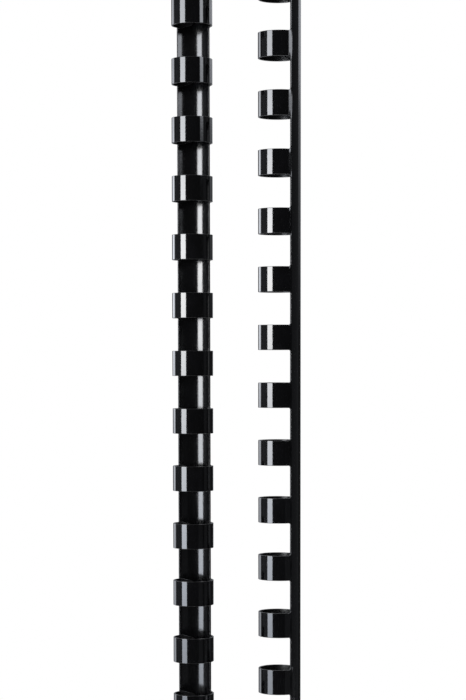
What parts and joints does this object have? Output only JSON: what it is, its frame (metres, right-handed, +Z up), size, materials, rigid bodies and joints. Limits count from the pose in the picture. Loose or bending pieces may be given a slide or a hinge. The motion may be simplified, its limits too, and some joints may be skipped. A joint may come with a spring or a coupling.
{
  "type": "pair of plastic binding combs",
  "caption": "Plastic binding combs, upright side by side: curved spine strips whose curled ring fingers peel open at the root and spring back to hold punched sheets.",
  "frame": {"origin": "middle of the pair's footprint, level with the bottom end of comb_a", "axes": "+Z up along both combs, +X from comb_a to comb_b, -Y towards the side comb_a's rings face"},
  "size_m": [0.032, 0.0105, 0.3064],
  "materials": {
    "comb_a_plastic": "gloss black PVC",
    "comb_b_plastic": "gloss black PVC"
  },
  "bodies": {
    "comb_a": {"comb_a_spine": "comb_a_plastic"},
    "comb_b": {"comb_b_spine": "comb_b_plastic"},
    "comb_a_finger_01": {"comb_a_finger_01": "comb_a_plastic"},
    "comb_b_finger_01": {"comb_b_finger_01": "comb_b_plastic"},
    "comb_a_finger_02": {"comb_a_finger_02": "comb_a_plastic"},
    "comb_b_finger_02": {"comb_b_finger_02": "comb_b_plastic"},
    "comb_a_finger_03": {"comb_a_finger_03": "comb_a_plastic"},
    "comb_b_finger_03": {"comb_b_finger_03": "comb_b_plastic"},
    "comb_a_finger_04": {"comb_a_finger_04": "comb_a_plastic"},
    "comb_b_finger_04": {"comb_b_finger_04": "comb_b_plastic"},
    "comb_a_finger_05": {"comb_a_finger_05": "comb_a_plastic"},
    "comb_b_finger_05": {"comb_b_finger_05": "comb_b_plastic"},
    "comb_a_finger_06": {"comb_a_finger_06": "comb_a_plastic"},
    "comb_b_finger_06": {"comb_b_finger_06": "comb_b_plastic"},
    "comb_a_finger_07": {"comb_a_finger_07": "comb_a_plastic"},
    "comb_b_finger_07": {"comb_b_finger_07": "comb_b_plastic"},
    "comb_a_finger_08": {"comb_a_finger_08": "comb_a_plastic"},
    "comb_b_finger_08": {"comb_b_finger_08": "comb_b_plastic"},
    "comb_a_finger_09": {"comb_a_finger_09": "comb_a_plastic"},
    "comb_b_finger_09": {"comb_b_finger_09": "comb_b_plastic"},
    "comb_a_finger_10": {"comb_a_finger_10": "comb_a_plastic"},
    "comb_b_finger_10": {"comb_b_finger_10": "comb_b_plastic"},
    "comb_a_finger_11": {"comb_a_finger_11": "comb_a_plastic"},
    "comb_b_finger_11": {"comb_b_finger_11": "comb_b_plastic"},
    "comb_a_finger_12": {"comb_a_finger_12": "comb_a_plastic"},
    "comb_b_finger_12": {"comb_b_finger_12": "comb_b_plastic"},
    "comb_a_finger_13": {"comb_a_finger_13": "comb_a_plastic"},
    "comb_b_finger_13": {"comb_b_finger_13": "comb_b_plastic"},
    "comb_a_finger_14": {"comb_a_finger_14": "comb_a_plastic"},
    "comb_b_finger_14": {"comb_b_finger_14": "comb_b_plastic"},
    "comb_a_finger_15": {"comb_a_finger_15": "comb_a_plastic"},
    "comb_b_finger_15": {"comb_b_finger_15": "comb_b_plastic"},
    "comb_a_finger_16": {"comb_a_finger_16": "comb_a_plastic"},
    "comb_b_finger_16": {"comb_b_finger_16": "comb_b_plastic"},
    "comb_a_finger_17": {"comb_a_finger_17": "comb_a_plastic"},
    "comb_b_finger_17": {"comb_b_finger_17": "comb_b_plastic"},
    "comb_a_finger_18": {"comb_a_finger_18": "comb_a_plastic"},
    "comb_b_finger_18": {"comb_b_finger_18": "comb_b_plastic"},
    "comb_a_finger_19": {"comb_a_finger_19": "comb_a_plastic"},
    "comb_b_finger_19": {"comb_b_finger_19": "comb_b_plastic"},
    "comb_a_finger_20": {"comb_a_finger_20": "comb_a_plastic"},
    "comb_b_finger_20": {"comb_b_finger_20": "comb_b_plastic"},
    "comb_a_finger_21": {"comb_a_finger_21": "comb_a_plastic"},
    "comb_b_finger_21": {"comb_b_finger_21": "comb_b_plastic"}
  },
  "joints": [
    {"name": "comb_b_slide", "type": "slide", "parent": "comb_a", "child": "comb_b", "axis": [1, 0, 0], "range_m": [0, 0.025]},
    {"name": "comb_a_finger_01_flex", "type": "hinge", "parent": "comb_a", "child": "comb_a_finger_01", "pos_m": [-0.00607, 0.00152, 0.00714], "axis": [0, 0, 1], "range_deg": [0, 90], "stiffness_Nm_per_rad": 0.002},
    {"name": "comb_b_finger_01_flex", "type": "hinge", "parent": "comb_b", "child": "comb_b_finger_01", "pos_m": [0.01226, -0.00499, 0.0135], "axis": [0, 0, 1], "range_deg": [0, 90], "stiffness_Nm_per_rad": 0.002},
    {"name": "comb_a_finger_02_flex", "type": "hinge", "parent": "comb_a", "child": "comb_a_finger_02", "pos_m": [-0.00607, 0.00152, 0.02143], "axis": [0, 0, 1], "range_deg": [0, 90], "stiffness_Nm_per_rad": 0.002},
    {"name": "comb_b_finger_02_flex", "type": "hinge", "parent": "comb_b", "child": "comb_b_finger_02", "pos_m": [0.01226, -0.00499, 0.02779], "axis": [0, 0, 1], "range_deg": [0, 90], "stiffness_Nm_per_rad": 0.002},
    {"name": "comb_a_finger_03_flex", "type": "hinge", "parent": "comb_a", "child": "comb_a_finger_03", "pos_m": [-0.00607, 0.00152, 0.03572], "axis": [0, 0, 1], "range_deg": [0, 90], "stiffness_Nm_per_rad": 0.002},
    {"name": "comb_b_finger_03_flex", "type": "hinge", "parent": "comb_b", "child": "comb_b_finger_03", "pos_m": [0.01226, -0.00499, 0.04208], "axis": [0, 0, 1], "range_deg": [0, 90], "stiffness_Nm_per_rad": 0.002},
    {"name": "comb_a_finger_04_flex", "type": "hinge", "parent": "comb_a", "child": "comb_a_finger_04", "pos_m": [-0.00607, 0.00152, 0.05001], "axis": [0, 0, 1], "range_deg": [0, 90], "stiffness_Nm_per_rad": 0.002},
    {"name": "comb_b_finger_04_flex", "type": "hinge", "parent": "comb_b", "child": "comb_b_finger_04", "pos_m": [0.01226, -0.00499, 0.05637], "axis": [0, 0, 1], "range_deg": [0, 90], "stiffness_Nm_per_rad": 0.002},
    {"name": "comb_a_finger_05_flex", "type": "hinge", "parent": "comb_a", "child": "comb_a_finger_05", "pos_m": [-0.00607, 0.00152, 0.06429], "axis": [0, 0, 1], "range_deg": [0, 90], "stiffness_Nm_per_rad": 0.002},
    {"name": "comb_b_finger_05_flex", "type": "hinge", "parent": "comb_b", "child": "comb_b_finger_05", "pos_m": [0.01226, -0.00499, 0.07065], "axis": [0, 0, 1], "range_deg": [0, 90], "stiffness_Nm_per_rad": 0.002},
    {"name": "comb_a_finger_06_flex", "type": "hinge", "parent": "comb_a", "child": "comb_a_finger_06", "pos_m": [-0.00607, 0.00152, 0.07858], "axis": [0, 0, 1], "range_deg": [0, 90], "stiffness_Nm_per_rad": 0.002},
    {"name": "comb_b_finger_06_flex", "type": "hinge", "parent": "comb_b", "child": "comb_b_finger_06", "pos_m": [0.01226, -0.00499, 0.08494], "axis": [0, 0, 1], "range_deg": [0, 90], "stiffness_Nm_per_rad": 0.002},
    {"name": "comb_a_finger_07_flex", "type": "hinge", "parent": "comb_a", "child": "comb_a_finger_07", "pos_m": [-0.00607, 0.00152, 0.09287], "axis": [0, 0, 1], "range_deg": [0, 90], "stiffness_Nm_per_rad": 0.002},
    {"name": "comb_b_finger_07_flex", "type": "hinge", "parent": "comb_b", "child": "comb_b_finger_07", "pos_m": [0.01226, -0.00499, 0.09923], "axis": [0, 0, 1], "range_deg": [0, 90], "stiffness_Nm_per_rad": 0.002},
    {"name": "comb_a_finger_08_flex", "type": "hinge", "parent": "comb_a", "child": "comb_a_finger_08", "pos_m": [-0.00607, 0.00152, 0.10716], "axis": [0, 0, 1], "range_deg": [0, 90], "stiffness_Nm_per_rad": 0.002},
    {"name": "comb_b_finger_08_flex", "type": "hinge", "parent": "comb_b", "child": "comb_b_finger_08", "pos_m": [0.01226, -0.00499, 0.11352], "axis": [0, 0, 1], "range_deg": [0, 90], "stiffness_Nm_per_rad": 0.002},
    {"name": "comb_a_finger_09_flex", "type": "hinge", "parent": "comb_a", "child": "comb_a_finger_09", "pos_m": [-0.00607, 0.00152, 0.12144], "axis": [0, 0, 1], "range_deg": [0, 90], "stiffness_Nm_per_rad": 0.002},
    {"name": "comb_b_finger_09_flex", "type": "hinge", "parent": "comb_b", "child": "comb_b_finger_09", "pos_m": [0.01226, -0.00499, 0.1278], "axis": [0, 0, 1], "range_deg": [0, 90], "stiffness_Nm_per_rad": 0.002},
    {"name": "comb_a_finger_10_flex", "type": "hinge", "parent": "comb_a", "child": "comb_a_finger_10", "pos_m": [-0.00607, 0.00152, 0.13573], "axis": [0, 0, 1], "range_deg": [0, 90], "stiffness_Nm_per_rad": 0.002},
    {"name": "comb_b_finger_10_flex", "type": "hinge", "parent": "comb_b", "child": "comb_b_finger_10", "pos_m": [0.01226, -0.00499, 0.14209], "axis": [0, 0, 1], "range_deg": [0, 90], "stiffness_Nm_per_rad": 0.002},
    {"name": "comb_a_finger_11_flex", "type": "hinge", "parent": "comb_a", "child": "comb_a_finger_11", "pos_m": [-0.00607, 0.00152, 0.15002], "axis": [0, 0, 1], "range_deg": [0, 90], "stiffness_Nm_per_rad": 0.002},
    {"name": "comb_b_finger_11_flex", "type": "hinge", "parent": "comb_b", "child": "comb_b_finger_11", "pos_m": [0.01226, -0.00499, 0.15638], "axis": [0, 0, 1], "range_deg": [0, 90], "stiffness_Nm_per_rad": 0.002},
    {"name": "comb_a_finger_12_flex", "type": "hinge", "parent": "comb_a", "child": "comb_a_finger_12", "pos_m": [-0.00607, 0.00152, 0.16431], "axis": [0, 0, 1], "range_deg": [0, 90], "stiffness_Nm_per_rad": 0.002},
    {"name": "comb_b_finger_12_flex", "type": "hinge", "parent": "comb_b", "child": "comb_b_finger_12", "pos_m": [0.01226, -0.00499, 0.17067], "axis": [0, 0, 1], "range_deg": [0, 90], "stiffness_Nm_per_rad": 0.002},
    {"name": "comb_a_finger_13_flex", "type": "hinge", "parent": "comb_a", "child": "comb_a_finger_13", "pos_m": [-0.00607, 0.00152, 0.17859], "axis": [0, 0, 1], "range_deg": [0, 90], "stiffness_Nm_per_rad": 0.002},
    {"name": "comb_b_finger_13_flex", "type": "hinge", "parent": "comb_b", "child": "comb_b_finger_13", "pos_m": [0.01226, -0.00499, 0.18495], "axis": [0, 0, 1], "range_deg": [0, 90], "stiffness_Nm_per_rad": 0.002},
    {"name": "comb_a_finger_14_flex", "type": "hinge", "parent": "comb_a", "child": "comb_a_finger_14", "pos_m": [-0.00607, 0.00152, 0.19288], "axis": [0, 0, 1], "range_deg": [0, 90], "stiffness_Nm_per_rad": 0.002},
    {"name": "comb_b_finger_14_flex", "type": "hinge", "parent": "comb_b", "child": "comb_b_finger_14", "pos_m": [0.01226, -0.00499, 0.19924], "axis": [0, 0, 1], "range_deg": [0, 90], "stiffness_Nm_per_rad": 0.002},
    {"name": "comb_a_finger_15_flex", "type": "hinge", "parent": "comb_a", "child": "comb_a_finger_15", "pos_m": [-0.00607, 0.00152, 0.20717], "axis": [0, 0, 1], "range_deg": [0, 90], "stiffness_Nm_per_rad": 0.002},
    {"name": "comb_b_finger_15_flex", "type": "hinge", "parent": "comb_b", "child": "comb_b_finger_15", "pos_m": [0.01226, -0.00499, 0.21353], "axis": [0, 0, 1], "range_deg": [0, 90], "stiffness_Nm_per_rad": 0.002},
    {"name": "comb_a_finger_16_flex", "type": "hinge", "parent": "comb_a", "child": "comb_a_finger_16", "pos_m": [-0.00607, 0.00152, 0.22146], "axis": [0, 0, 1], "range_deg": [0, 90], "stiffness_Nm_per_rad": 0.002},
    {"name": "comb_b_finger_16_flex", "type": "hinge", "parent": "comb_b", "child": "comb_b_finger_16", "pos_m": [0.01226, -0.00499, 0.22782], "axis": [0, 0, 1], "range_deg": [0, 90], "stiffness_Nm_per_rad": 0.002},
    {"name": "comb_a_finger_17_flex", "type": "hinge", "parent": "comb_a", "child": "comb_a_finger_17", "pos_m": [-0.00607, 0.00152, 0.23574], "axis": [0, 0, 1], "range_deg": [0, 90], "stiffness_Nm_per_rad": 0.002},
    {"name": "comb_b_finger_17_flex", "type": "hinge", "parent": "comb_b", "child": "comb_b_finger_17", "pos_m": [0.01226, -0.00499, 0.2421], "axis": [0, 0, 1], "range_deg": [0, 90], "stiffness_Nm_per_rad": 0.002},
    {"name": "comb_a_finger_18_flex", "type": "hinge", "parent": "comb_a", "child": "comb_a_finger_18", "pos_m": [-0.00607, 0.00152, 0.25003], "axis": [0, 0, 1], "range_deg": [0, 90], "stiffness_Nm_per_rad": 0.002},
    {"name": "comb_b_finger_18_flex", "type": "hinge", "parent": "comb_b", "child": "comb_b_finger_18", "pos_m": [0.01226, -0.00499, 0.25639], "axis": [0, 0, 1], "range_deg": [0, 90], "stiffness_Nm_per_rad": 0.002},
    {"name": "comb_a_finger_19_flex", "type": "hinge", "parent": "comb_a", "child": "comb_a_finger_19", "pos_m": [-0.00607, 0.00152, 0.26432], "axis": [0, 0, 1], "range_deg": [0, 90], "stiffness_Nm_per_rad": 0.002},
    {"name": "comb_b_finger_19_flex", "type": "hinge", "parent": "comb_b", "child": "comb_b_finger_19", "pos_m": [0.01226, -0.00499, 0.27068], "axis": [0, 0, 1], "range_deg": [0, 90], "stiffness_Nm_per_rad": 0.002},
    {"name": "comb_a_finger_20_flex", "type": "hinge", "parent": "comb_a", "child": "comb_a_finger_20", "pos_m": [-0.00607, 0.00152, 0.27861], "axis": [0, 0, 1], "range_deg": [0, 90], "stiffness_Nm_per_rad": 0.002},
    {"name": "comb_b_finger_20_flex", "type": "hinge", "parent": "comb_b", "child": "comb_b_finger_20", "pos_m": [0.01226, -0.00499, 0.28497], "axis": [0, 0, 1], "range_deg": [0, 90], "stiffness_Nm_per_rad": 0.002},
    {"name": "comb_a_finger_21_flex", "type": "hinge", "parent": "comb_a", "child": "comb_a_finger_21", "pos_m": [-0.00607, 0.00152, 0.29289], "axis": [0, 0, 1], "range_deg": [0, 90], "stiffness_Nm_per_rad": 0.002},
    {"name": "comb_b_finger_21_flex", "type": "hinge", "parent": "comb_b", "child": "comb_b_finger_21", "pos_m": [0.01226, -0.00499, 0.29925], "axis": [0, 0, 1], "range_deg": [0, 90], "stiffness_Nm_per_rad": 0.002}
  ]
}
